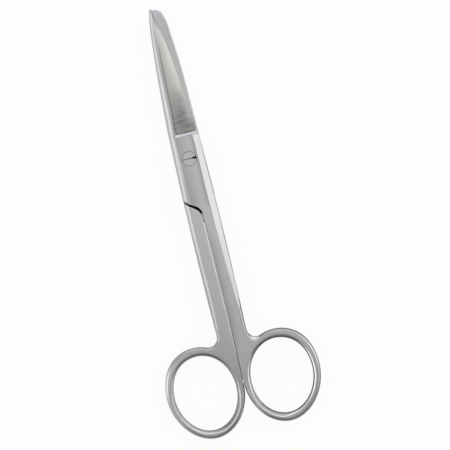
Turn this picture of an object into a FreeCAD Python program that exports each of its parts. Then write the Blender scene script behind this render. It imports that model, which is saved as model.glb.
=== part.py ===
import FreeCAD, Part
import math
import os
import Sketcher

# Dressing scissors, one point sharp and one blunt, lying flat.
# The origin is on the pivot axis at the resting face. +Y runs to the points, +Z is up.
# Two halves of one form, the second turned half a turn about the long axis, and a slotted screw.
# Each half is worked out in a frame of its own: plate on top, finger ring at +X, back of the blade at -X.

doc = FreeCAD.newDocument("dressing_scissors")
sheet = doc.addObject("Spreadsheet::Sheet", "sizes")
Vector = FreeCAD.Vector


# A length with the spreadsheet formula that gives it
class Size:
    def __init__(self, number, formula):
        self.number = number
        self.formula = formula

    def __add__(self, other):
        other = as_size(other)
        return Size(self.number + other.number, f"({self.formula} + {other.formula})")

    def __sub__(self, other):
        other = as_size(other)
        return Size(self.number - other.number, f"({self.formula} - {other.formula})")

    def __mul__(self, other):
        other = as_size(other)
        return Size(self.number * other.number, f"({self.formula} * {other.formula})")

    def __truediv__(self, other):
        other = as_size(other)
        return Size(self.number / other.number, f"({self.formula} / {other.formula})")

    def __neg__(self):
        return Size(-self.number, f"(-1 * {self.formula})")

    def __rsub__(self, other):
        return as_size(other) - self

    __radd__ = __add__
    __rmul__ = __mul__


def as_size(value):
    return value if isinstance(value, Size) else Size(float(value), f"({value:.9g})")


def least(*choices):
    formulas = "; ".join(choice.formula for choice in choices)
    return Size(min(choice.number for choice in choices), f"min({formulas})")


def between(start, end, share):
    return start + (end - start) * share


# One row of the sheet: the name, the number and what it measures
def size(alias, number, note):
    row = len(sheet.getUsedCells()) // 3 + 1
    sheet.set(f"A{row}", alias)
    sheet.set(f"B{row}", str(number))
    sheet.set(f"C{row}", note)
    sheet.setAlias(f"B{row}", alias)
    return Size(float(number), f"sizes.{alias}")


# Joint
joint_thickness = size("joint_thickness", 5.0, "both plates together, face to face")
joint_play = size("joint_play", 0.04, "air between the two plates")
joint_half_width = size("joint_half_width", 5.25, "pivot to the side of the joint, seen from above")
step_reach = size("step_reach", 7.6, "pivot to the step where the ground blade face begins")
step_run = size("step_run", 1.4, "length of the step along the blade")
cove_height = size("cove_height", 0.45, "height of the round cove at the foot of the step")
plate_reach_outer = size("plate_reach_outer", 13.2, "pivot to the end of the plate at its outer side")
plate_reach_inner = size("plate_reach_inner", 18.3, "pivot to the end of the plate beside the shanks")
gap_width = size("gap_width", 0.65, "open gap between a plate and the shoulder of the other half")
lip_width = size("lip_width", 0.22, "how far the plate's lip laps over the long axis below its end")
lip_length = size("lip_length", 3.2, "length of that lip")
lip_air = size("lip_air", 0.16, "air beside the lip")

# Shank
shank_swell = size("shank_swell", 0.35, "how far the side of the shank bows outwards")
shank_width = size("shank_width", 5.15, "one shank where it reaches the ring")
shank_clearance = size("shank_clearance", 0.01, "half the air between the closed shanks")
under_rounding_width = size("under_rounding_width", 1.8, "rounded outer edge under the shank, across")
under_rounding_height = size("under_rounding_height", 1.5, "rounded outer edge under the shank, in height")
seam_chamfer_width = size("seam_chamfer_width", 0.55, "chamfer under the shank along the seam, across")
seam_chamfer_height = size("seam_chamfer_height", 0.25, "chamfer under the shank along the seam, in height")
taper_reach = size("taper_reach", 15.0, "pivot to the place where the handles begin to thin")

# Ring
ring_drop = size("ring_drop", 78.0, "pivot to the middle of the finger ring, along the shank")
ring_offset = size("ring_offset", 13.2, "long axis to the middle of the finger opening")
ring_hole_width = size("ring_hole_width", 21.0, "finger opening, across")
ring_hole_height = size("ring_hole_height", 25.3, "finger opening, along the shank")
ring_band_side = size("ring_band_side", 2.65, "width of the ring at its sides")
ring_band_end = size("ring_band_end", 3.05, "width of the ring at its top and bottom")
ring_end_thickness = size("ring_end_thickness", 2.8, "thickness at the far end of the ring")
ring_rounding = size("ring_rounding", 1.2, "radius of the ring's edges")
crotch_radius = size("crotch_radius", 3.0, "hollow corner between shank and ring")

# Blades
tip_reach = size("tip_reach", 51.85, "pivot to the points")
tip_thickness = size("tip_thickness", 1.5, "one blade at its point")
blade_back = size("blade_back", 5.08, "long axis to the back of the blade at the step")
blade_edge = size("blade_edge", 4.45, "long axis to the cutting edge at the step")
blade_ridge = size("blade_ridge", 2.6, "long axis to the ridge beside the rounded back, at the step")
edge_thickness = size("edge_thickness", 0.35, "blade along its cutting edge")
grind_depth = size("grind_depth", 0.65, "ground face below the back of the blade, at the step")
grind_crown = size("grind_crown", 0.08, "swell of the ground face across its width")
back_rounding = size("back_rounding", 1.9, "height of the rounded back edge")
nose_rounding = size("nose_rounding", 0.45, "radius of the blunt nose's edge on the inner face")
nose_facet_reach = size("nose_facet_reach", 2.4, "length of the slanted facet on the inner face of the nose")
nose_facet_drop = size("nose_facet_drop", 0.45, "fall of that facet")

# Bevel on the outer side of the joint and shank
bevel_width = size("bevel_width", 2.55, "bevel at the pivot")
bevel_drop = size("bevel_drop", 1.3, "fall of the bevel across that width")
bevel_softness = size("bevel_softness", 0.45, "width of the soft turn from the face into the bevel")
bevel_edge_width = size("bevel_edge_width", 0.4, "rounded outer edge of the bevel, across")
bevel_edge_height = size("bevel_edge_height", 0.75, "rounded outer edge of the bevel, in height")

# Screw
head_diameter = size("head_diameter", 4.9, "screw head")
head_height = size("head_height", 1.3, "screw head")
screw_diameter = size("screw_diameter", 3.2, "screw shank")
screw_clearance = size("screw_clearance", 0.04, "running clearance round the screw")
screw_setback = size("screw_setback", 0.1, "screw end below the face of the far plate")
slot_narrow_width = size("slot_narrow_width", 0.36, "slot along its narrow part")
slot_wide_width = size("slot_wide_width", 0.95, "slot at its worn, wide end")
slot_depth = size("slot_depth", 0.6, "slot")

doc.recompute()

# Sizes that follow from these
plate_underside = (joint_thickness + joint_play) / 2
tip_top = joint_thickness / 2 + tip_thickness
blade_length = tip_reach - step_reach
shank_side = shank_clearance + shank_width
ring_top = ring_drop - ring_hole_height / 2
far_reach = ring_drop + ring_hole_height / 2 + ring_band_end
end_inset = (joint_thickness - ring_end_thickness) / 2
full_width = (ring_offset + ring_hole_width) * 3
beyond = joint_thickness / 5

# Fullness of the finger opening and of the ring's outside at their four diagonals:
# top outer, top inner, bottom inner, bottom outer
OPENING_FULLNESS = (1.05, 1.0, 1.01, 0.97)
RING_FULLNESS = (1.075, 1.0, 0.995, 0.955)

# Stations along a blade: share of its length, then what the back, the ridge and
# the cutting edge keep of their distance from the long axis at the step
SHARP_STATIONS = (
    (-0.03, 1.005, 1.02, 1.0), (0.1, 0.98, 0.93, 0.975), (0.27, 0.905, 0.79, 0.845),
    (0.5, 0.79, 0.715, 0.6), (0.69, 0.66, 0.59, 0.4), (0.84, 0.535, 0.5, 0.125),
    (0.935, 0.415, 0.4, -0.07), (1.0, 0.285, 0.33, -0.135),
)
BLUNT_STATIONS = (
    (-0.03, 1.005, 1.02, 1.0), (0.1, 0.99, 0.97, 0.975), (0.27, 0.963, 0.92, 0.87),
    (0.5, 0.915, 0.84, 0.69), (0.69, 0.815, 0.75, 0.51), (0.84, 0.705, 0.65, 0.33),
    (1.02, 0.56, 0.5, 0.13),
)
# The blunt nose: share of the blade's length, then shares of the back's distance for the place
# of each corner and for how far the side after it bows
NOSE = ((0.87, 0.69, 0.02), (0.946, 0.525, 0.069), (0.989, 0.12, 0.006), (0.993, -0.3, None))


# A sketch placed by a turn and by distances along the axes that the sheet gives
def new_sketch(name, turn=None, **base):
    sketch = doc.addObject("Sketcher::SketchObject", name)
    if turn is not None:
        sketch.Placement = FreeCAD.Placement(Vector(0, 0, 0), turn)
    for axis, distance in base.items():
        sketch.setExpression(f"Placement.Base.{axis}", distance.formula)
    return sketch


def pin(sketch, geometry, point, x, y):
    for kind, value in (("DistanceX", x), ("DistanceY", y)):
        index = sketch.addConstraint(Sketcher.Constraint(kind, -1, 1, geometry, point, value.number))
        sketch.setExpression(f"Constraints[{index}]", value.formula)


# A closed outline of straight and bowed sides. A bow is how far a side swells to the right of its run.
def draw_outline(sketch, corners, bows=None):
    bows = bows or {}
    sides = []
    for number, (x, y) in enumerate(corners):
        next_x, next_y = corners[(number + 1) % len(corners)]
        start, end = Vector(x.number, y.number, 0), Vector(next_x.number, next_y.number, 0)
        if number in bows:
            run = end - start
            outwards = Vector(run.y, -run.x, 0).normalize()
            middle = (start + end) * 0.5 + outwards * bows[number].number
            side = sketch.addGeometry(Part.Arc(start, middle, end), False)
            depth = bows[number] if bows[number].number > 0 else -bows[number]
            chord = (next_x - x) * (next_x - x) + (next_y - y) * (next_y - y)
            radius = chord / (depth * 8) + depth / 2
            index = sketch.addConstraint(Sketcher.Constraint("Radius", side, radius.number))
            sketch.setExpression(f"Constraints[{index}]", radius.formula)
        else:
            side = sketch.addGeometry(Part.LineSegment(start, end), False)
        ends = sketch.getPoint(side, 1), sketch.getPoint(side, 2)
        first = 1 if (ends[0] - start).Length < (ends[1] - start).Length else 2
        sides.append((side, first, 3 - first))
        pin(sketch, side, first, x, y)
    for number, (side, _, last) in enumerate(sides):
        following, first, _ = sides[(number + 1) % len(sides)]
        sketch.addConstraint(Sketcher.Constraint("Coincident", side, last, following, first))
    return sketch


# A smooth closed oval with its own fullness at each diagonal
def draw_oval(sketch, half_width, half_height, fullness):
    reach = 6 / (4 + 2 * math.cos(math.pi / 4))
    poles = []
    for number in range(8):
        angle = number * math.pi / 4
        full = reach * (fullness[number // 2] if number % 2 else 1)
        poles.append((ring_offset + half_width * (full * math.cos(angle)),
                      half_height * (full * math.sin(angle)) - ring_drop))
    curve = Part.BSplineCurve()
    curve.buildFromPoles([Vector(x.number, y.number, 0) for x, y in poles], True, 3)
    oval = sketch.addGeometry(curve, False)
    sketch.exposeInternalGeometry(oval)
    for number, (x, y) in enumerate(poles):
        pin(sketch, oval + 1 + number, 3, x, y)
    return sketch


def extrude(name, sketch, length, direction=Vector(0, 0, 1), symmetric=False):
    solid = doc.addObject("Part::Extrusion", name)
    solid.Base = sketch
    solid.DirMode = "Custom"
    solid.Dir = direction
    solid.Solid = True
    solid.Symmetric = symmetric
    solid.setExpression("LengthFwd", length.formula)
    return solid


def loft(name, sections):
    solid = doc.addObject("Part::Loft", name)
    solid.Sections = sections
    solid.Solid = True
    return solid


def cut(name, base, tool):
    result = doc.addObject("Part::Cut", name)
    result.Base = base
    result.Tool = tool
    return result


def joined(kind, name, shapes):
    result = doc.addObject(kind, name)
    result.Shapes = list(shapes)
    return result


def fuse(name, *shapes):
    return joined("Part::MultiFuse", name, shapes)


def common(name, *shapes):
    return joined("Part::MultiCommon", name, shapes)


def cylinder(name, diameter, bottom, height):
    solid = doc.addObject("Part::Cylinder", name)
    solid.setExpression("Radius", (diameter / 2).formula)
    solid.setExpression("Height", height.formula)
    solid.setExpression("Placement.Base.z", bottom.formula)
    return solid


# A fillet on the edges that lie nearest to the given points, and on what runs on smoothly from them
def fillet(name, base, radius, points):
    doc.recompute()
    edges = base.Shape.Edges
    rounded = doc.addObject("Part::Fillet", name)
    rounded.Base = base
    chosen = {
        min(range(len(edges)), key=lambda number: edges[number].distToShape(Part.Vertex(point))[0]) + 1
        for point in points
    }
    rounded.Edges = [(number, radius.number, radius.number) for number in sorted(chosen)]
    return rounded


FACING_FRONT = FreeCAD.Rotation(Vector(1, 0, 0), 90)
FACING_SIDE = FreeCAD.Rotation(Vector(1, 1, 1), 120)


# The side view that both halves share, where the handles thin towards the rings
def side_form(name):
    end = -far_reach - beyond
    corners = (
        (end, end_inset), (-taper_reach, as_size(0)), (tip_reach, as_size(0)),
        (tip_reach, joint_thickness), (-taper_reach, joint_thickness), (end, joint_thickness - end_inset),
    )
    swell = end_inset / 4
    sketch = draw_outline(new_sketch(f"{name}_outline", FACING_SIDE), corners, {0: swell, 4: swell})
    return extrude(name, sketch, full_width, Vector(1, 0, 0), symmetric=True)


# The S-shaped end of a plate, from its side to the shanks, and the shoulder of the other half
# that it faces. The shoulder lies one gap further down, on the other side of the long axis.
def plate_end():
    return [
        (-joint_half_width - shank_swell * 0.7, -plate_reach_outer),
        (-joint_half_width * 0.76, -between(plate_reach_outer, plate_reach_inner, 0.3)),
        (-joint_half_width * 0.25, -between(plate_reach_outer, plate_reach_inner, 0.61)),
        (-lip_width * 0.1, -plate_reach_inner),
    ]


def shoulder():
    steps = ((0.0, 0.5), (0.4, 0.95), (0.75, 1.3), (0.95, 1.08))
    return [
        (-x + gap_width * aside, y - gap_width * down)
        for (x, y), (aside, down) in zip(plate_end(), steps)
    ]


# Joint plate and shank in one bar, seen from above
def bar(name):
    end = plate_end()
    corners = end + [
        (-lip_width, -plate_reach_inner - gap_width * 1.4),
        (-lip_width, -plate_reach_inner - lip_length),
        (shank_clearance, -plate_reach_inner - lip_length),
        (shank_clearance, -ring_top),
        (ring_offset - ring_hole_width / 3, -ring_top - ring_hole_height / 5),
        (shank_side, -ring_top - ring_hole_height / 8),
        (shank_side, crotch_radius * 2 - ring_top),
        (blade_back, step_reach - step_run / 4),
        (blade_edge, step_reach + step_run),
        (-blade_back, step_reach + step_run),
        (-joint_half_width, as_size(0)),
    ]
    bows = {0: -gap_width * 0.3, 2: -gap_width * 0.28, len(end) + 6: shank_swell}
    return extrude(name, draw_outline(new_sketch(f"{name}_outline"), corners, bows), joint_thickness)


def opening(name, grow):
    outline = draw_oval(new_sketch(f"{name}_outline"), ring_hole_width / 2 + grow,
                        ring_hole_height / 2 + grow, OPENING_FULLNESS)
    return extrude(name, outline, joint_thickness)


edge_rounding = least(ring_rounding, ring_band_side * 0.46, ring_end_thickness * 0.43)


# Bar and ring in one piece, thinned towards the ring and rounded along its edges
def handle(name, side):
    outside = draw_oval(
        new_sketch(f"{name}_ring_outline"), ring_hole_width / 2 + ring_band_side,
        ring_hole_height / 2 + ring_band_end, RING_FULLNESS,
    )
    ring = extrude(f"{name}_ring", outside, joint_thickness)
    plain = fuse(f"{name}_plain", bar(f"{name}_bar"), ring)
    corner = Vector(shank_side.number, -ring_top.number, joint_thickness.number / 2)
    hollow = fillet(f"{name}_crotch", plain, crotch_radius, [corner])
    opened = cut(f"{name}_open", hollow, opening(f"{name}_opening", as_size(0)))
    shaped = common(f"{name}_shaped", opened, side)
    low, high = end_inset.number, (joint_thickness - end_inset).number
    outer_end = Vector(ring_offset.number, -far_reach.number, 0)
    inner_end = Vector(ring_offset.number, (ring_band_end - far_reach).number, 0)
    picks = [end + Vector(0, 0, z) for end in (outer_end, inner_end) for z in (low, high)]
    return fillet(f"{name}_rounded", shaped, edge_rounding, picks)


# The flat web that fills the corner between the shank's inner side and the ring, and narrows
# to nothing on the ring's band
def web(name, side):
    corners = [
        (shank_clearance, crotch_radius - ring_top),
        (shank_clearance, ring_hole_height / 14 - ring_drop),
        (shank_clearance + shank_width * 0.8, -ring_drop - ring_hole_height * 0.334),
        (ring_offset - ring_hole_width * 0.37, -ring_drop - ring_hole_height * 0.257),
        (ring_offset - ring_hole_width / 4, ring_hole_height / 4 - ring_drop),
        (shank_width * 0.6, crotch_radius - ring_top),
    ]
    outline = draw_outline(new_sketch(f"{name}_outline"), corners, {1: shank_width * 0.135})
    flat = extrude(f"{name}_flat", outline, joint_thickness)
    cleared = cut(f"{name}_cleared", flat, opening(f"{name}_opening", edge_rounding * 1.04))
    return common(name, cleared, side)


# What is cut away under the plate, down to the shoulder
def lap(name):
    corners = shoulder()
    side_x, side_y = corners[0]
    groove = lip_width + lip_air
    foot = -plate_reach_inner - lip_length - lip_air
    corners[0] = (side_x + beyond, side_y + beyond * 1.3)
    corners += [
        (groove, -plate_reach_inner - gap_width * 1.5),
        (groove, foot),
        (-joint_half_width - beyond * 2, foot - beyond),
        (-joint_half_width - beyond * 2, tip_reach),
        (side_x + beyond, tip_reach),
    ]
    outline = draw_outline(new_sketch(f"{name}_outline", z=-beyond), corners,
                           {0: gap_width * 0.46, 2: gap_width * 0.28})
    return extrude(name, outline, plate_underside + beyond)


# The rounded back edge of the plate, as the corner that is taken off
def rounded_side(name):
    sections = []
    width = joint_half_width - blade_ridge * 1.24
    for number, along in enumerate((step_reach + step_run * 2, as_size(0), -plate_reach_outer - beyond * 3)):
        share = (step_reach - along) / step_reach
        x = -blade_back - (joint_half_width - blade_back) * share * 0.85
        corners = [
            (x + width, joint_thickness),
            (x - back_rounding * 0.026, joint_thickness - back_rounding),
            (x - beyond, joint_thickness - back_rounding),
            (x - beyond, joint_thickness + beyond),
            (x + width, joint_thickness + beyond),
        ]
        sketch = new_sketch(f"{name}_{number}", FACING_FRONT, y=along)
        sections.append(draw_outline(sketch, corners, {0: back_rounding * 0.3}))
    return loft(name, sections)


# Stations of the bevel: share of the way from the pivot to the crotch, share of its width there
BEVEL_STATIONS = ((-0.16, 1.04), (0.1, 1.0), (0.3, 1.0), (0.5, 0.86), (0.7, 0.62), (0.96, 0.3))


# The bevel that runs from the step down the outer side and fades out above the ring
def bevel(name):
    sections = []
    crotch = ring_top - crotch_radius * 1.5
    for number, (share, part) in enumerate(BEVEL_STATIONS):
        along = crotch * share
        side = joint_half_width + shank_swell * (0.81 - abs(share - 0.4) * 1.54)
        thinning = end_inset * max(share - 0.25, 0) ** 2 * 0.45
        top = joint_thickness - thinning
        slope = bevel_drop / bevel_width
        width, turn = bevel_width * part, bevel_softness / 2
        edge_width, edge_height = bevel_edge_width * part, bevel_edge_height * part
        edge_top = top - (width - edge_width) * slope
        corners = [
            (side - width - turn, top),
            (side - width + turn * 0.9, top - turn * slope * 0.9),
            (side - edge_width, edge_top),
            (side + edge_width * 0.3, edge_top - edge_height),
            (side + bevel_width, edge_top - edge_height),
            (side + bevel_width, top + beyond),
            (side - width - turn, top + beyond),
        ]
        sketch = new_sketch(f"{name}_{number}", FACING_FRONT, y=-along)
        sections.append(draw_outline(sketch, corners, {0: -bevel_softness * 0.058, 2: -edge_width * 0.25}))
    return loft(name, sections)


# Stations along the underside of the shank: share of the way from the pivot to the crotch
UNDER_STATIONS = (0.18, 0.4, 0.6, 0.8, 0.95)


# How far the underside has risen at such a station, where the handles thin
def under_rise(share):
    return end_inset * (max(share - 0.25, 0) ** 2 * 0.58)


# The rounded outer edge under the shank, as the corner that is taken off
def rounded_under(name):
    sections = []
    for number, share in enumerate(UNDER_STATIONS):
        kept = 1 - max(share - 0.8, 0)
        side = shank_side + shank_swell * (0.85 - abs(share - 0.42) * 1.4)
        low = under_rise(share)
        corners = [
            (side - under_rounding_width * kept, low),
            (side + under_rounding_width * 0.03, low + under_rounding_height * kept),
            (side + beyond, low + under_rounding_height * kept),
            (side + beyond, -beyond),
            (side - under_rounding_width * kept, -beyond),
        ]
        sketch = new_sketch(f"{name}_{number}", FACING_FRONT, y=-(ring_top - crotch_radius * 1.5) * share)
        sections.append(draw_outline(sketch, corners, {0: under_rounding_height * 0.25}))
    return loft(name, sections)


# The chamfer under the shank along the seam
def seam_chamfer(name):
    sections = []
    for number, share in enumerate(UNDER_STATIONS):
        low = under_rise(share)
        inside, outside = shank_clearance + seam_chamfer_width, shank_clearance - beyond
        corners = [
            (inside, low),
            (inside, -beyond),
            (outside, -beyond),
            (outside, low + seam_chamfer_height * ((seam_chamfer_width + beyond) / seam_chamfer_width)),
        ]
        sketch = new_sketch(f"{name}_{number}", FACING_FRONT, y=-(ring_top + crotch_radius * 2) * share)
        sections.append(draw_outline(sketch, corners))
    return loft(name, sections)


# The step at the end of the joint's face: a steep edge, then a round cove down to the ground face
def step(name):
    ground_top = joint_thickness - grind_depth
    fall = (ground_top - plate_underside - edge_thickness) / (blade_ridge + blade_edge)
    start, end = step_reach, step_reach + step_run
    sections = []
    for number, x in enumerate((-blade_ridge * 1.12, joint_half_width + beyond)):
        foot = ground_top - fall * (x + blade_ridge) - grind_depth * 0.05
        corners = [
            (start, joint_thickness), (start + step_run * 0.12, foot + cove_height), (end, foot),
            (end + beyond, foot), (end + beyond, joint_thickness + beyond), (start, joint_thickness + beyond),
        ]
        sketch = new_sketch(f"{name}_{number}", FACING_SIDE, x=x)
        sections.append(draw_outline(sketch, corners, {1: cove_height * 0.27}))
    return loft(name, sections)


# One blade: flat inside, a rounded back, a ridge, and a ground face down to the cutting edge
def blade(name, stations):
    sections = []
    for number, (share, back, ridge, edge) in enumerate(stations):
        kept = 1 - 0.5 * share
        ground = grind_depth * (1 - 0.9 * share)
        crest = between(joint_thickness, tip_top, max(share, 0))
        back_x, ridge_x, edge_x = -blade_back * back, -blade_ridge * ridge, blade_edge * edge
        corners = [
            (back_x, plate_underside),
            (edge_x, plate_underside),
            (edge_x - edge_thickness * 0.23, plate_underside + edge_thickness),
            (ridge_x, crest - ground),
            (ridge_x - blade_ridge * (0.12 * kept), crest),
            (back_x, crest - back_rounding * kept),
        ]
        bows = {2: grind_crown * kept, 4: (ridge_x - back_x) * 0.2}
        sketch = new_sketch(f"{name}_{number}", FACING_FRONT, y=step_reach + blade_length * share)
        sections.append(draw_outline(sketch, corners, bows))
    return loft(name, sections)


# What is cut off a blade to leave a blunt, rounded end
def nose(name):
    corners = [(-blade_back * back, step_reach + blade_length * share) for share, back, _ in NOSE]
    bows = {number: -blade_back * bow for number, (_, _, bow) in enumerate(NOSE) if bow}
    corners += [
        (blade_back, corners[-1][1]), (blade_back, tip_reach + beyond * 3),
        (-blade_back, tip_reach + beyond * 3), (-blade_back, corners[0][1] - beyond),
    ]
    return extrude(name, draw_outline(new_sketch(f"{name}_outline"), corners, bows), joint_thickness)


# A point on each edge of the nose that lies on the inner face
def nose_edges():
    points = []
    for (share, back, bow), (next_share, next_back, _) in zip(NOSE, NOSE[1:]):
        run = Vector(blade_back.number * (back - next_back), blade_length.number * (next_share - share), 0)
        along = (step_reach + blade_length * share).number
        start = Vector(-blade_back.number * back, along, plate_underside.number)
        outwards = Vector(-run.y, run.x, 0).normalize()
        points.append(start + run * 0.5 + outwards * (blade_back.number * bow))
    return points


# The slanted facet on the inner face of the blunt nose
def nose_facet(name):
    start, end = tip_reach - nose_facet_reach, tip_reach + beyond
    fall = nose_facet_drop * ((nose_facet_reach + beyond) / nose_facet_reach)
    corners = [
        (start, plate_underside), (start, plate_underside - beyond),
        (end, plate_underside - beyond), (end, plate_underside + fall),
    ]
    outline = draw_outline(new_sketch(f"{name}_outline", FACING_SIDE), corners)
    return extrude(name, outline, full_width, Vector(1, 0, 0), symmetric=True)


# One half in its own frame
def half(name, stations, side, blunt):
    body = fuse(f"{name}_forging", handle(f"{name}_handle", side), web(f"{name}_web", side))
    tools = [
        rounded_under(f"{name}_under"), seam_chamfer(f"{name}_seam"), lap(f"{name}_lap"),
        rounded_side(f"{name}_side"), bevel(f"{name}_bevel"), step(f"{name}_step"),
    ]
    for tool in tools:
        body = cut(f"{tool.Name}_cut", body, tool)
    cutter = blade(f"{name}_blade", stations)
    if blunt:
        cutter = cut(f"{name}_blunted", cutter, nose(f"{name}_nose"))
        cutter = fillet(f"{name}_softened", cutter, nose_rounding, nose_edges())
        cutter = cut(f"{name}_faceted", cutter, nose_facet(f"{name}_facet"))
    return fuse(f"{name}_whole", body, cutter)


side = side_form("side_form")
through = cylinder("front_bore", screw_diameter + screw_clearance * 2, as_size(0), joint_thickness)
seat = cylinder("front_seat", head_diameter + screw_clearance * 2, joint_thickness - head_height, head_height)
screw_hole = fuse("front_screw_hole", through, seat)
front_half = cut("front_bored", half("front", SHARP_STATIONS, side, False), screw_hole)
front_half.Label = "front_half"

thread = cylinder("back_bore", screw_diameter, as_size(0), joint_thickness)
back_half = cut("back_bored", half("back", BLUNT_STATIONS, side, True), thread)
back_half.Label = "back_half"
back_half.Placement = FreeCAD.Placement(Vector(0, 0, 0), FreeCAD.Rotation(Vector(0, 1, 0), 180))
back_half.setExpression("Placement.Base.z", joint_thickness.formula)


# The screw: a slotted cylindrical head, flush with the front face, on a plain shank
def screw(name):
    shank, head = screw_diameter / 2, head_diameter / 2
    under_head = joint_thickness - head_height + joint_play / 2
    rim = slot_depth / 5
    centre = as_size(0)
    corners = [
        (centre, screw_setback), (shank, screw_setback), (shank, under_head), (head, under_head),
        (head, joint_thickness - rim), (head - rim, joint_thickness), (centre, joint_thickness),
    ]
    turned = doc.addObject("Part::Revolution", f"{name}_turned")
    turned.Source = draw_outline(new_sketch(f"{name}_profile", FACING_FRONT), corners)
    turned.Axis = Vector(0, 0, 1)
    turned.Angle = 360
    turned.Solid = True
    narrow, wide = slot_narrow_width / 2, slot_wide_width * 0.7
    flare, reach = head_diameter * 0.12, head_diameter * 0.7
    slot = [
        (-reach, -narrow), (flare, -narrow), (reach, -wide), (reach, wide), (flare, narrow), (-reach, narrow),
    ]
    outline = draw_outline(new_sketch(f"{name}_slot_outline", z=joint_thickness - slot_depth), slot)
    result = cut(f"{name}_slotted", turned, extrude(f"{name}_slot", outline, slot_depth + beyond))
    result.Label = name
    return result


pivot_screw = screw("pivot_screw")
doc.recompute()
for piece in doc.Objects:
    if "Invalid" in piece.State or "Error" in piece.State:
        raise RuntimeError(f"{piece.Name} failed: {piece.State}")
os.makedirs("parts", exist_ok=True)
for piece in (front_half, back_half, pivot_screw):
    if piece.Shape.isNull() or not piece.Shape.isValid():
        raise RuntimeError(f"{piece.Label} has no sound shape")
    print(piece.Label, len(piece.Shape.Solids), "solid,", round(piece.Shape.Volume, 2), "cubic mm")
for piece in (front_half, back_half, pivot_screw):
    piece.Shape.exportStep(f"parts/{piece.Label}.step")
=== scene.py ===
import math
from collections import namedtuple

import bpy
from mathutils import Matrix, Vector

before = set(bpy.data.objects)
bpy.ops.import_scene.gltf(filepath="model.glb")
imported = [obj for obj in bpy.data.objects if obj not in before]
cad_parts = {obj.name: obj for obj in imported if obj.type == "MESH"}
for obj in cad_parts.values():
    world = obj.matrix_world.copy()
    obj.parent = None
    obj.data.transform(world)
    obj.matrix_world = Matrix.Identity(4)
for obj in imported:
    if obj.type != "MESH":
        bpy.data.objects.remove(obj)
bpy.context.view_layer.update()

# Everything is in metres. The scissors lie in the XY plane with the points at +Y.
MM = 0.001

# The photograph's view: straight down, with the points leaning to the left
PHOTO_PIXELS = 450
MM_PER_PIXEL = 0.3365
LEAN = math.radians(13.6)
VIEW_CENTRE = Vector((6.39, -24.46, 2.5)) * MM
CAMERA_HEIGHT = 1.2
SENSOR_WIDTH = 36
NEAREST, FARTHEST = 0.01, 20


# A socket that can be used in sums: every operator adds its Math node
class Value:
    def __init__(self, tree, socket):
        self.tree = tree
        self.socket = socket

    def math(self, operation, *others, swap=False):
        operands = [self, *others]
        if swap:
            operands.reverse()
        return self.tree.node("ShaderNodeMath", {"operation": operation}, *operands)

    def __add__(self, other):
        return self.math("ADD", other)

    def __sub__(self, other):
        return self.math("SUBTRACT", other)

    def __rsub__(self, other):
        return self.math("SUBTRACT", other, swap=True)

    def __mul__(self, other):
        return self.math("MULTIPLY", other)

    def __truediv__(self, other):
        return self.math("DIVIDE", other)

    def __rtruediv__(self, other):
        return self.math("DIVIDE", other, swap=True)

    def __pow__(self, other):
        return self.math("POWER", other)

    __radd__ = __add__
    __rmul__ = __mul__

    def size(self):
        return self.math("ABSOLUTE")

    def clamp(self, top=1.0):
        return self.math("MAXIMUM", 0.0).math("MINIMUM", top)

    def highest(self, *others):
        result = self
        for other in others:
            result = result.math("MAXIMUM", other)
        return result

    # 0 below an edge and 1 above it, with a soft change of the given width between
    def above(self, edge, softness):
        return ((self - edge) / softness + 0.5).clamp()

    def below(self, edge, softness):
        return 1.0 - self.above(edge, softness)

    # 1 up to a reach on both sides of a place, with soft ends
    def near(self, place, reach, softness):
        return (self - place).size().below(reach, softness)

    # 1 at a place and 0 from a width away on both sides, rounded between
    def hump(self, place, width):
        return (1.0 - ((self - place) / width) ** 2.0).clamp()

    # All outputs of this value's node, by name
    def outputs(self):
        return {socket.name: Value(self.tree, socket) for socket in self.socket.node.outputs}


# A node tree with one way to add a node: its type, its settings, then its sockets by place or by name
class Tree:
    def __init__(self, owner):
        owner.use_nodes = True
        self.nodes = owner.node_tree.nodes
        self.links = owner.node_tree.links
        self.nodes.clear()

    def node(self, kind, settings=None, *by_place, output=0, **by_name):
        made = self.nodes.new(kind)
        for setting, value in (settings or {}).items():
            if setting == "stops":
                self.set_stops(made.color_ramp, value)
            else:
                setattr(made, setting, value)
        sockets = list(enumerate(by_place))
        sockets += [(name.replace("_", " "), value) for name, value in by_name.items()]
        for key, value in sockets:
            if isinstance(value, Value):
                self.links.new(value.socket, made.inputs[key])
            elif value is not None:
                made.inputs[key].default_value = value
        return Value(self, made.outputs[output]) if made.outputs else made

    @staticmethod
    def set_stops(ramp, stops):
        while len(ramp.elements) < len(stops):
            ramp.elements.new(0.5)
        for element, (place, shade) in zip(ramp.elements, stops):
            element.position = place
            element.color = (shade, shade, shade, 1)

    # Two colours mixed by a factor. The node's sockets for other kinds of mixing come between.
    def mix(self, factor, first, second, blend="MIX"):
        unused = (None,) * 5
        return self.node("ShaderNodeMix", {"data_type": "RGBA", "blend_type": blend},
                         factor, *unused, first, second, output=2)

    def coordinate(self, kind):
        return self.node("ShaderNodeTexCoord").outputs()[kind]

    # A vector's x, y and z
    def parts(self, vector):
        return list(self.node("ShaderNodeSeparateXYZ", None, vector).outputs().values())

    # Place on the piece in millimetres, as a vector and as its three parts
    def place(self):
        here = self.coordinate("Object")
        here = self.node("ShaderNodeVectorMath", {"operation": "SCALE"}, here, Scale=1 / MM)
        return here, *self.parts(here)

    def noise(self, where, stretch, detail=2.0, roughness=0.5, distortion=0.0):
        where = self.node("ShaderNodeVectorMath", {"operation": "MULTIPLY"}, where, stretch)
        return self.node("ShaderNodeTexNoise", None, where, Scale=1.0, Detail=detail,
                         Roughness=roughness, Distortion=distortion) - 0.5


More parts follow.
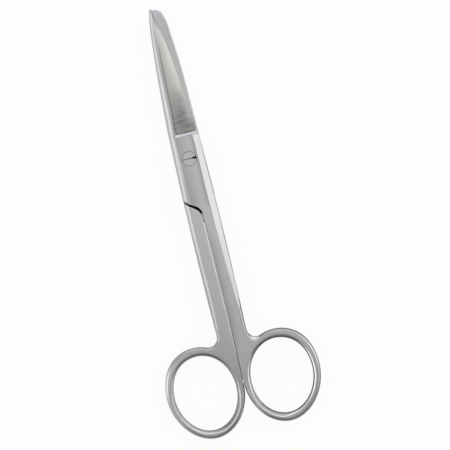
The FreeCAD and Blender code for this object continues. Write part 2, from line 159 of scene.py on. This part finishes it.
def make_camera():
    data = bpy.data.cameras.new("camera")
    camera = bpy.data.objects.new("camera", data)
    bpy.context.scene.collection.objects.link(camera)
    width = PHOTO_PIXELS * MM_PER_PIXEL * MM
    data.sensor_width = SENSOR_WIDTH
    data.lens = SENSOR_WIDTH * CAMERA_HEIGHT / width
    data.clip_start, data.clip_end = NEAREST, FARTHEST
    turn = Matrix.Rotation(-LEAN, 4, "Z")
    camera.matrix_world = Matrix.Translation(VIEW_CENTRE + Vector((0, 0, CAMERA_HEIGHT))) @ turn
    bpy.context.scene.camera = camera


# How bright the studio is from the horizon (0) to overhead (1): at the sides, where white
# sheets stand, past the points, and past the rings, where the room is dark
RIGHT_SHADES = (
    (0.0, 0.7), (0.17, 0.95), (0.45, 1.15), (0.68, 1.12),
    (0.82, 0.5), (0.9, 0.2), (0.955, 0.33), (0.985, 0.88),
)
LEFT_SHADES = ((0.0, 0.68), (0.17, 0.88), (0.45, 1.0), (0.68, 1.0), (0.82, 0.75), (0.93, 0.55), (0.985, 0.88))
POINT_SHADES = ((0.0, 0.8), (0.3, 1.1), (0.6, 1.15), (0.85, 1.0), (0.93, 0.75), (0.985, 0.88))
RING_SHADES = ((0.0, 0.42), (0.4, 0.37), (0.75, 0.34), (0.88, 0.37), (0.95, 0.46), (0.99, 0.88))
LEFT_TINT = (0.97, 1.0, 1.05, 1)
RIGHT_TINT = (1.0, 0.995, 1.02, 1)
POINT_TINT = (0.97, 1.0, 1.12, 1)
OVERHEAD_TINT = (1.0, 0.995, 0.985, 1)

# Where one part of the studio gives way to the next, as an edge and the width of its change. The
# compass directions run from -1 to 1, and overhead goes by height.
RIGHT_PART = (0.0, 0.6)
POINT_PART = (0.55, 0.5)
RING_PART = (-0.6, 0.5)
CORNER_PART = (-0.3, 0.4)
OVERHEAD_PART = (0.96, 0.04)
CORNER_SHADE = 0.45
# Keeps the compass directions from dividing by nothing straight overhead
OVER_ONE = 1.0001


def make_world():
    world = bpy.data.worlds.new("studio")
    bpy.context.scene.world = world
    tree = Tree(world)
    x, y, z = tree.parts(tree.coordinate("Generated"))
    across = 1.0 / (OVER_ONE - z * z) ** 0.5
    along, aside = y * across, x * across
    left, right, points, rings = (
        tree.node("ShaderNodeValToRGB", {"stops": stops}, z)
        for stops in (LEFT_SHADES, RIGHT_SHADES, POINT_SHADES, RING_SHADES)
    )
    to_right = aside.above(*RIGHT_PART)
    past_points = along.above(*POINT_PART)
    corner = past_points * aside.below(*CORNER_PART) * CORNER_SHADE
    light = tree.mix(past_points, tree.mix(to_right, left, right), points)
    light = tree.mix(along.below(*RING_PART), light, rings)
    tint = tree.mix(to_right, LEFT_TINT, RIGHT_TINT)
    tint = tree.mix(past_points, tint, POINT_TINT)
    tint = tree.mix(z.above(*OVERHEAD_PART), tint, OVERHEAD_TINT)
    light = tree.mix(1.0, tree.mix(1.0, light, tint, "MULTIPLY"), 1.0 - corner, "MULTIPLY")
    background = tree.node("ShaderNodeBackground", None, light, 1.0)
    tree.node("ShaderNodeOutputWorld", None, background)


# Weak lamps at both sides: name, place, width and height, power, colour
LAMPS = (
    ("right_softbox", (0.9, 0.1, 0.7), (0.8, 1.4), 0.5, (1.0, 0.99, 0.97)),
    ("left_softbox", (-0.9, 0.1, 0.5), (0.5, 1.2), 0.4, (0.96, 0.98, 1.0)),
)
LAMPS_AIM = Vector((0, -0.02, 0))


def make_lamp(name, place, size, power, colour):
    data = bpy.data.lights.new(name, "AREA")
    data.shape = "RECTANGLE"
    data.size, data.size_y = size
    data.energy = power
    data.color = colour
    lamp = bpy.data.objects.new(name, data)
    bpy.context.scene.collection.objects.link(lamp)
    lamp.location = place
    lamp.rotation_euler = (LAMPS_AIM - Vector(place)).to_track_quat("-Z", "Y").to_euler()


FLOOR_SIZE = 6.0
FLOOR_DEPTH = 0.0001
FLOOR_GLOW = 0.94
FLOOR_COLOUR = (0.9, 0.9, 0.9, 1)
GLOW_COLOUR = (1, 1, 1, 1)


# The floor glows where the camera or a reflection sees it, so that it shows as an even white
def make_floor():
    mesh = bpy.data.meshes.new("floor")
    half, level = FLOOR_SIZE / 2, -FLOOR_DEPTH
    corners = [(-half, -half, level), (half, -half, level), (half, half, level), (-half, half, level)]
    mesh.from_pydata(corners, [], [(0, 1, 2, 3)])
    floor = bpy.data.objects.new("floor", mesh)
    bpy.context.scene.collection.objects.link(floor)
    material = bpy.data.materials.new("floor_white")
    tree = Tree(material)
    diffuse = tree.node("ShaderNodeBsdfDiffuse", None, FLOOR_COLOUR)
    glow = tree.node("ShaderNodeEmission", None, GLOW_COLOUR, 1.0)
    rays = tree.node("ShaderNodeLightPath").outputs()
    seen = rays["Is Camera Ray"] + rays["Is Glossy Ray"] + rays["Is Transmission Ray"]
    mixed = tree.node("ShaderNodeMixShader", None, seen.clamp() * FLOOR_GLOW, diffuse, glow)
    tree.node("ShaderNodeOutputMaterial", None, mixed)
    mesh.materials.append(material)


STEEL = (0.62, 0.612, 0.592, 1)
GROUND_STEEL = (0.62, 0.617, 0.58, 1)
# The near-black of painted shade in crevices, in the screw's slot and round its head
SHADE_COLOUR = (0.012, 0.011, 0.01, 1)
SATIN_ROUGHNESS = 0.31
POLISHED_ROUGHNESS = 0.2

# From here all lengths are in millimetres. Own x counts from the pivot towards a half's own ring.
# Painted light and shade are drawn with soft forms, which are written as their numbers for Value:
# an edge as (place, softness), a line as (place, reach, softness), a hump as (place, width).
TOP_FACE = 5.0
MEETING_FACE = 2.5
STEP_END = 8.7
PAST_MEETING_FACE = (0.1, 0.05)
LOOKING_OUT = (0.3, 0.2)

# A number that differs between the halves
Halves = namedtuple("Halves", "front back")


# Where a point lies on one half. side is 1 for the front half and -1 for the back half, which is
# the same form turned over. facing is 1 where the surface looks straight away from the other half.
class Spot:
    def __init__(self, tree, side):
        self.tree = tree
        self.side = side
        self.here, self.x, self.y, self.z = tree.place()
        self.own_x = self.x * side
        self.facing = tree.parts(tree.coordinate("Normal"))[2] * side
        self.level = self.facing.size()
        height = (self.z - MEETING_FACE) * side
        self.outside = height.above(*PAST_MEETING_FACE) * self.facing.above(*LOOKING_OUT)

    def pick(self, halves):
        return halves.front if self.side > 0 else halves.back


# The blade's ground face starts at a ridge, which nears the cutting edge on its way to the point
RIDGE_AT_STEP = 2.6
RIDGE_DRIFT = 0.0358
RIDGE_EDGE = (0.0, 0.15)
GROUND_START = (STEP_END, 0.2)

# The wheel's marks run across it, bowed about a line. They are strong where they are fresh, near
# the step, and faint where they are worn.
WHEEL_X, WHEEL_Y, WHEEL_Z = 0.22, 1.7, 0.2
WHEEL_LINE, WHEEL_BOW = 1.0, 0.05
WHEEL_NOISE = ((1, 1, 1), 3.0, 0.65, 0.4)
FINE_NOISE = ((2, 4, 2), 2.0, 0.6)
WORN_MARKS, FRESH_WHEEL_MARKS, FRESH_FINE_MARKS = 0.12, 0.65, 0.6

# Near the step the face carries painted shade. It fades out up the blade, further up and faster along its
# middle, and a strip along the cutting edge keeps little of it.
MIDDLE = (1.2, 2.6)
NEAR_STEP_END, NEAR_STEP_SOFTNESS = 18.0, 14.0
MIDDLE_FURTHER, MIDDLE_FASTER = 2.6, 4.0
NEAR_STEP_SHADE, MIDDLE_DARK = 0.33, 0.07
TOWARDS_EDGE = (1.0, 6.0)
EDGE_STRIP, EDGE_STRIP_START, EDGE_STRIP_LESS_SHADE = (0.75, 0.3), (13.0, 4.0), 0.7

# Past that shade the face is painted lighter towards its edge, a little more so half way up, and it
# has painted shade near the point
EDGEWARD_LIGHT = 0.32
HALFWAY_START, HALFWAY_END, HALFWAY_LIGHT = (23.0, 4.0), (34.0, 6.0), 0.07
NEAR_POINT, POINT_DARK = (39.0, 8.0), 0.27

# A painted line of shade follows the ridge and gets stronger up the blade, but ends short of the point
RIDGE_LINE, RIDGE_LINE_END, RIDGE_LINE_DARK = (0.28, 0.2, 0.3), (38.0, 6.0), 0.14
RIDGE_LINE_GROWTH, RIDGE_LINE_DARKER = (20.0, 14.0), 0.34


# The ground face: where it is, its marks, and how much its marks and its painted light and shade change the
# satin
def ground_face(spot):
    tree, x, y, own_x = spot.tree, spot.x, spot.y, spot.own_x
    from_ridge = own_x + RIDGE_AT_STEP - (y - STEP_END) * RIDGE_DRIFT
    ground = from_ridge.above(*RIDGE_EDGE) * y.above(*GROUND_START) * spot.outside

    bow = (x - WHEEL_LINE) ** 2.0 * WHEEL_BOW
    bowed = tree.node("ShaderNodeCombineXYZ", None, x * WHEEL_X, y * WHEEL_Y + bow, spot.z * WHEEL_Z)
    middle = own_x.hump(*MIDDLE)
    near_step = y.below(NEAR_STEP_END + middle * MIDDLE_FURTHER, NEAR_STEP_SOFTNESS - middle * MIDDLE_FASTER)
    wheel_marks = tree.noise(bowed, *WHEEL_NOISE) * (WORN_MARKS + near_step * FRESH_WHEEL_MARKS)
    fine_marks = tree.noise(bowed, *FINE_NOISE) * (WORN_MARKS + near_step * FRESH_FINE_MARKS)
    marks = wheel_marks + fine_marks

    to_edge = own_x.above(*TOWARDS_EDGE)
    lighter_strip = to_edge.above(*EDGE_STRIP) * y.above(*EDGE_STRIP_START) * EDGE_STRIP_LESS_SHADE
    dark = near_step * (1.0 - lighter_strip) * (NEAR_STEP_SHADE + middle * MIDDLE_DARK)
    painted_light = (1.0 - near_step) * to_edge * EDGEWARD_LIGHT - y.above(*NEAR_POINT) * POINT_DARK
    painted_light = painted_light + y.above(*HALFWAY_START) * y.below(*HALFWAY_END) * HALFWAY_LIGHT
    line_dark = y.above(*RIDGE_LINE_GROWTH) * RIDGE_LINE_DARKER + RIDGE_LINE_DARK
    line = from_ridge.near(*RIDGE_LINE) * y.below(*RIDGE_LINE_END) * line_dark
    return ground, marks, ground * (marks - dark + painted_light - line)


PLATE_FOOT, PLATE_TOP = (-16.5, 3.0), (7.5, 0.3)
# The plate's face has painted shade away from its ring, along the bevel and a little towards its foot
FACE_FAR_SIDE, FACE_RING_SIDE = (-3.2, 0.4), (2.7, 0.1)
SHADE_START, SHADE_LENGTH, SHADE_DARK = 0.6, 3.4, 0.2
BESIDE_BEVEL, BESIDE_BEVEL_DARK = (2.0, 0.7), 0.17
FACE_FOOT, FACE_FOOT_DARK = (-9.0, 5.0), 0.05
# The rounding on its far side has a painted highlight, and the bevel's own outer edge has painted shade
ROUNDING_HIGHLIGHT, ROUNDING_HIGHLIGHT_FOOT, ROUNDING_HIGHLIGHT_STRENGTH = (-3.6, 0.25, 0.25), (-7.0, 4.0), 0.32
BEVEL_EDGE, BEVEL_STEEPEST, BEVEL_FLATTEST, BEVEL_EDGE_DARK = (4.4, 0.2), (0.2, 0.1), (0.75, 0.15), 0.3


# Painted light and shade on the plate
def plate_light_and_shade(spot):
    y, own_x = spot.y, spot.own_x
    plate = y.above(*PLATE_FOOT) * spot.outside * y.below(*PLATE_TOP)
    face = own_x.above(*FACE_FAR_SIDE) * own_x.below(*FACE_RING_SIDE)
    dark = ((SHADE_START - own_x) / SHADE_LENGTH).clamp() * SHADE_DARK
    dark = dark + own_x.above(*BESIDE_BEVEL) * BESIDE_BEVEL_DARK + y.below(*FACE_FOOT) * FACE_FOOT_DARK
    rounding = own_x.near(*ROUNDING_HIGHLIGHT) * y.above(*ROUNDING_HIGHLIGHT_FOOT) * ROUNDING_HIGHLIGHT_STRENGTH
    slope = spot.facing.above(*BEVEL_STEEPEST) * spot.facing.below(*BEVEL_FLATTEST)
    return plate * (rounding - dark * face) - own_x.above(*BEVEL_EDGE) * slope * BEVEL_EDGE_DARK


RING_CENTRE_X, RING_CENTRE_Y = 13.2, -78.0
OPENING_HALF_WIDTH, OPENING_HALF_HEIGHT = 10.5, 12.65
# How much fuller than an ellipse an opening is at its upper and at its lower outer corner
UPPER_FULLNESS, LOWER_FULLNESS = 0.037, -0.022
FULLNESS_EDGE = (0.0, 0.2)


# How far a place is from the edge of its finger opening, out across the ring's band, and where it
# lies about the opening's middle: wide and high are 1 at its outer side and at its top
def from_opening(own_x, y):
    across, up = own_x - RING_CENTRE_X, y - RING_CENTRE_Y
    wide, high = across / OPENING_HALF_WIDTH, up / OPENING_HALF_HEIGHT
    spread = wide * wide + high * high
    diagonal = wide * high * 2.0 / spread
    fullness = high.above(*FULLNESS_EDGE) * (UPPER_FULLNESS - LOWER_FULLNESS) + LOWER_FULLNESS
    edge = 1.0 + diagonal * diagonal * wide.above(*FULLNESS_EDGE) * fullness
    return (across * across + up * up) ** 0.5 * (1.0 - edge / spread ** 0.5), wide, high


RING_BAND, RING_TOP = (3.1, 0.3), (-61.0, 1.0)

# The ring's crest has a painted highlight. Its line lies further out low on the inner side. On the
# outer side it lies further in on the right ring and further out on the left one.
CREST_PLACE, CREST_WIDTH = 0.85, 0.32
INNER_SIDE, LOW_PART, CREST_FURTHER_OUT = (-0.1, 0.4), (-0.35, 0.5), 0.55
OUTER_SIDE, CREST_FURTHER_IN = (0.0, 0.4), Halves(0.15, -0.15)
CREST_TOP, CREST_TOP_SOFTNESS = Halves(0.55, 0.05), 0.5
CREST_LIGHT, LOW_CREST_LIGHT = Halves(0.84, 0.68), 0.2

# The flank inside it has a little painted shade, with a painted line of shade at the top of the opening
FLANK, FLANK_DARK = (0.6, 0.3), 0.07
TOP_LINE, TOP_PART, TOP_LINE_DARK = (0.5, 0.15, 0.2), (0.6, 0.4), 0.3

# The band catches the light where the rings part, up its outer side and in a streak there
PARTING_SIDE, PARTING_TOP, PARTING_LIGHT = (0.9, 0.6), (-78.2, 1.2), Halves(0.35, 0.05)
OUTERMOST, UPPER_PART, UPPER_LIGHT = (0.45, 0.5), (0.2, 0.6), Halves(0.03, 0.13)
STREAK, STREAK_FOOT, STREAK_TOP, STREAK_LIGHT = (2.25, 0.45), (0.1, 0.4), (0.85, 0.3), 0.4

# The web and the band beside it have painted shade, and the hollow between shank and ring has a painted
# highlight
WEB_SIDE, LOW_WEB, LOW_WEB_DARK = (0.0, 1.0), (-70.0, 10.0), 0.08
WEB_TOP, WEB_DARK = (-62.0, 6.0), Halves(0.0, 0.08)
HOLLOW_X, HOLLOW_Y, HOLLOW_LIGHT = 7.0, -63.6, Halves(0.5, 0.1)
HOLLOW_FALL_X, HOLLOW_FALL_Y = 0.3, 0.6


# The ring: where it is, and how much its painted light and shade change the satin
def ring_tone(spot):
    y, own_x, pick = spot.y, spot.own_x, spot.pick
    out, wide, high = from_opening(own_x, y)
    ring = out.below(*RING_BAND) * y.below(*RING_TOP)

    low_inner = wide.below(*INNER_SIDE) * high.below(*LOW_PART)
    further_in = wide.above(*OUTER_SIDE) * pick(CREST_FURTHER_IN)
    crest_place = CREST_PLACE + low_inner * CREST_FURTHER_OUT - further_in
    crest = out.hump(crest_place, CREST_WIDTH) * high.below(pick(CREST_TOP), CREST_TOP_SOFTNESS)
    crest = crest * (pick(CREST_LIGHT) + low_inner * LOW_CREST_LIGHT)
    flank = out.below(*FLANK) * FLANK_DARK + out.near(*TOP_LINE) * high.above(*TOP_PART) * TOP_LINE_DARK
    parting = own_x.below(*PARTING_SIDE) * y.below(*PARTING_TOP) * pick(PARTING_LIGHT)
    streak = out.hump(*STREAK) * high.above(*STREAK_FOOT) * high.below(*STREAK_TOP) * STREAK_LIGHT
    outer = wide.above(*OUTERMOST) * (streak + high.above(*UPPER_PART) * pick(UPPER_LIGHT))

    web = wide.below(*WEB_SIDE) * (y.below(*LOW_WEB) * LOW_WEB_DARK + y.below(*WEB_TOP) * pick(WEB_DARK))
    from_hollow = (own_x - HOLLOW_X) ** 2.0 * HOLLOW_FALL_X + (y - HOLLOW_Y) ** 2.0 * HOLLOW_FALL_Y
    hollow = (1.0 - from_hollow).clamp() * pick(HOLLOW_LIGHT)
    return ring, ring * (crest + parting + outer - flank) - web + hollow


# Along the seam between the shanks the left side catches the light and the right side lies in shade
BESIDE_SEAM_TOP, BESIDE_SEAM_FOOT = (-26.0, 8.0), (-66.0, 10.0)
SEAM_LIGHT_LINE, SEAM_LIGHT = (-0.2, 0.35, 0.2), 0.05
SEAM_SHADE_START, SEAM_SHADE_END, SEAM_SHADE = (0.3, 0.3), (1.6, 1.8), 0.17


def seam_tone(spot):
    x, y = spot.x, spot.y
    light = x.near(*SEAM_LIGHT_LINE) * SEAM_LIGHT
    shade = x.above(*SEAM_SHADE_START) * x.below(*SEAM_SHADE_END) * SEAM_SHADE
    return y.below(*BESIDE_SEAM_TOP) * y.above(*BESIDE_SEAM_FOOT) * (light - shade)


# Edges that turn down carry painted shade, later and less so on the rings, and the seam's chamfer has painted
# shade too
EDGE_SHADE_LEVEL, RING_EDGE_SHADE_LEVEL = 0.86, 0.14
EDGE_SHADE_GROWTH, EDGE_SHADE_MOST, RING_LESS_EDGE_SHADE = 0.9, 0.3, 0.35
CHAMFER, CHAMFER_TOP, CHAMFER_FACING, CHAMFER_DARK = (-0.4, 0.3, 0.1), (-21.0, 1.0), (-0.5, 0.2), 0.35


def painted_edge_shade(spot, ring, ground):
    turned_down_shade = ((ring * RING_EDGE_SHADE_LEVEL + EDGE_SHADE_LEVEL - spot.level) * EDGE_SHADE_GROWTH).clamp(EDGE_SHADE_MOST)
    turned_down_shade = turned_down_shade * (1.0 - ring * RING_LESS_EDGE_SHADE) * (1.0 - ground)
    chamfer = spot.own_x.near(*CHAMFER) * spot.y.below(*CHAMFER_TOP) * spot.facing.below(*CHAMFER_FACING)
    return turned_down_shade + chamfer * CHAMFER_DARK


# A plate ends in an S-shaped gap, which runs from its far side to the shanks and widens on the way
GAP_X, GAP_Y, GAP_SLOPE, GAP_CURL = -3.2, -15.55, 0.548, 0.0539
GAP_START, GAP_END, GAP_SIDES = (-5.7, 0.1), (0.25, 0.1), (0.24, 0.1)
GAP_WIDENING, GAP_WIDER = (-3.6, 2.4), 0.8
UPPER_GAP, LOWER_GAP = (2.3, 0.1), (2.7, 0.1)


def plate_gap(x, y, side):
    own_x = x * side
    along = own_x - GAP_X
    from_curve = (y - GAP_Y + along * GAP_SLOPE + along ** 3.0 * GAP_CURL).size()
    wider = own_x.above(*GAP_WIDENING) * GAP_WIDER
    return (from_curve - wider).below(*GAP_SIDES) * own_x.below(*GAP_END) * own_x.above(*GAP_START)


# Painted shade lies in the lip beside the gap, at the foot of the round step and in the seam. The seam's
# line of painted shade lies furthest right in its middle and is strongest at the web.
LIP, LIP_TOP, LIP_FOOT = (0.3, 0.14, 0.1), (-18.4, 0.4), (-21.8, 0.4)
STEP_LINE, STEP_LINE_START, STEP_LINE_SHADE = (7.74, 0.14, 0.08), (0.3, 1.5), 0.5
SEAM_X, SEAM_MIDDLE, SEAM_HALF_LENGTH, SEAM_BEND = 0.4, -45.0, 25.0, 0.3
SEAM_SIDES, SEAM_TOP, SEAM_FOOT = (0.1, 0.14), (-17.5, 0.6), (-76.6, 0.8)
SEAM_LINE_SHADE, WEB_START, WEB_SEAM_SHADE = 0.3, (-60.0, 8.0), 0.6
SKIN, SKIN_SOFTNESS = 0.05, 0.06


# Where shade is painted. In the gap, the lip and the step's foot it stays below the outer faces.
def crevice_shade(spot):
    x, y, z = spot.x, spot.y, spot.z
    inside = z.below(TOP_FACE - SKIN, SKIN_SOFTNESS) * z.above(SKIN, SKIN_SOFTNESS)
    gap = plate_gap(x, y, 1) * z.above(*UPPER_GAP)
    gap_under = plate_gap(x, y, -1) * z.below(*LOWER_GAP)
    lip = x.size().near(*LIP) * y.below(*LIP_TOP) * y.above(*LIP_FOOT)
    step_line = y.near(*STEP_LINE) * spot.own_x.above(*STEP_LINE_START) * spot.outside * STEP_LINE_SHADE
    from_seam = (x - SEAM_X + ((y - SEAM_MIDDLE) / SEAM_HALF_LENGTH) ** 2.0 * SEAM_BEND).size()
    seam = from_seam.below(*SEAM_SIDES) * y.below(*SEAM_TOP) * y.above(*SEAM_FOOT)
    seam = seam * (SEAM_LINE_SHADE + y.below(*WEB_START) * WEB_SEAM_SHADE)
    return (gap.highest(gap_under, lip, step_line) * inside).highest(seam)


# Satin, rubbed along the length, and a little darker towards the rings
RUBBED_NOISE = ((5.0, 0.22, 5.0), 3.0, 0.6)
GRAIN_NOISE, GRAIN_SHOWS = ((1.6, 1.6, 1.6), 2.0, 0.7), 0.14
CLOUD_NOISE, CLOUD_SHOWS = ((0.09, 0.05, 0.09), 2.0, 0.5), 0.2
RINGWARDS, RINGWARDS_DARK = (-40.0, 40.0), 0.18

# Turned-down edges are polished. Polish flattens the relief.
POLISH_LEVEL, POLISH_FLATTENS = (0.965, 0.05), 0.8
GRAIN_ROUGHNESS, CREVICE_ROUGHNESS = 0.08, 0.4
RUBBED_RELIEF, GRAIN_RELIEF, MARKS_RELIEF = 0.006, 0.01, 0.03


def add_surface(tree, colour, roughness, relief):
    bump = tree.node("ShaderNodeBump", None, Strength=1.0, Distance=MM, Height=relief)
    surface = tree.node("ShaderNodeBsdfPrincipled", None, Base_Color=colour, Metallic=1.0,
                        Roughness=roughness, Normal=bump)
    tree.node("ShaderNodeOutputMaterial", None, surface)


# Steel of one half
def half_steel(name, side):
    material = bpy.data.materials.new(name)
    tree = Tree(material)
    spot = Spot(tree, side)
    rubbed = tree.noise(spot.here, *RUBBED_NOISE)
    grain = tree.noise(spot.here, *GRAIN_NOISE)
    cloud = tree.noise(spot.here, *CLOUD_NOISE)
    ground, marks, ground_light = ground_face(spot)
    ring, ring_light = ring_tone(spot)
    painted_shade_mask = crevice_shade(spot)

    satin = 1.0 + grain * GRAIN_SHOWS + cloud * CLOUD_SHOWS - spot.y.below(*RINGWARDS) * RINGWARDS_DARK
    # The tone carries painted light and shade from the ground face, the plate, the ring and the seam's sides
    tone = satin + ground_light + plate_light_and_shade(spot) + ring_light + seam_tone(spot)
    # Painted shade on edges that turn down and on the seam's chamfer
    tone = tone - painted_edge_shade(spot, ring, ground)
    colour = tree.mix(1.0, tree.mix(ground, STEEL, GROUND_STEEL), tone, "MULTIPLY")
    # Painted shade darkens the gap, the lip, the step's foot and the seam
    colour = tree.mix(painted_shade_mask, colour, SHADE_COLOUR)

    polish = spot.level.below(*POLISH_LEVEL) * (1.0 - ground)
    roughness = SATIN_ROUGHNESS - polish * (SATIN_ROUGHNESS - POLISHED_ROUGHNESS)
    roughness = (roughness + grain * GRAIN_ROUGHNESS + painted_shade_mask * CREVICE_ROUGHNESS).clamp()
    relief = (rubbed * RUBBED_RELIEF + grain * GRAIN_RELIEF) * (1.0 - ground)
    relief = relief * (1.0 - polish * POLISH_FLATTENS) + ground * marks * MARKS_RELIEF
    add_surface(tree, colour, roughness, relief)
    return material


SCREW_GRAIN_NOISE = ((2.5, 2.5, 2.5), 2.0, 0.7)
TURNED_NOISE = ((0.4, 6.0, 6.0), 2.0, 0.6)
SCREW_TONE, SCREW_GRAIN_SHOWS = 0.98, 0.25
# Heights of the slot and of the rim, and how far from the middle they lie, squared
SLOT_TOP, SLOT_FLOOR, SLOT_REACH = (TOP_FACE - 0.06, 0.05), (4.0, 0.1), (5.5, 0.2)
RIM_TOP, RIM_START = (TOP_FACE - 0.03, 0.05), (5.2, 0.2)
SLOT_SHADE, OPEN_END, OPEN_END_SHADE = 0.35, (0.8, 1.2), 0.65
RIM_SHADE, SCREW_SHADE_ROUGHNESS = 0.36, 0.3


# Turned steel of the screw, with painted shade in its slot, most at the end that is worn open, and round the
# rim of its head
def screw_steel():
    material = bpy.data.materials.new("screw_steel")
    tree = Tree(material)
    here, x, y, z = tree.place()
    grain = tree.noise(here, *SCREW_GRAIN_NOISE)
    turned = tree.noise(here, *TURNED_NOISE)
    out_squared = x * x + y * y
    slot = z.below(*SLOT_TOP) * z.above(*SLOT_FLOOR) * out_squared.below(*SLOT_REACH)
    rim = z.below(*RIM_TOP) * out_squared.above(*RIM_START)
    # Painted shade in the slot and round the head's rim
    dark = (slot * (SLOT_SHADE + x.above(*OPEN_END) * OPEN_END_SHADE) + rim * RIM_SHADE).clamp()
    colour = tree.mix(1.0, STEEL, SCREW_TONE + grain * SCREW_GRAIN_SHOWS, "MULTIPLY")
    colour = tree.mix(dark, colour, SHADE_COLOUR)
    relief = turned * RUBBED_RELIEF + grain * GRAIN_RELIEF
    add_surface(tree, colour, SATIN_ROUGHNESS + dark * SCREW_SHADE_ROUGHNESS, relief)
    return material


bpy.context.scene.view_settings.view_transform = "Standard"
make_camera()
make_world()
for lamp in LAMPS:
    make_lamp(*lamp)
make_floor()

FINISHES = {
    "front_half": half_steel("front_steel", 1),
    "back_half": half_steel("back_steel", -1),
    "pivot_screw": screw_steel(),
}
for name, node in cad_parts.items():
    for slot in node.material_slots:
        slot.material = FINISHES[name]
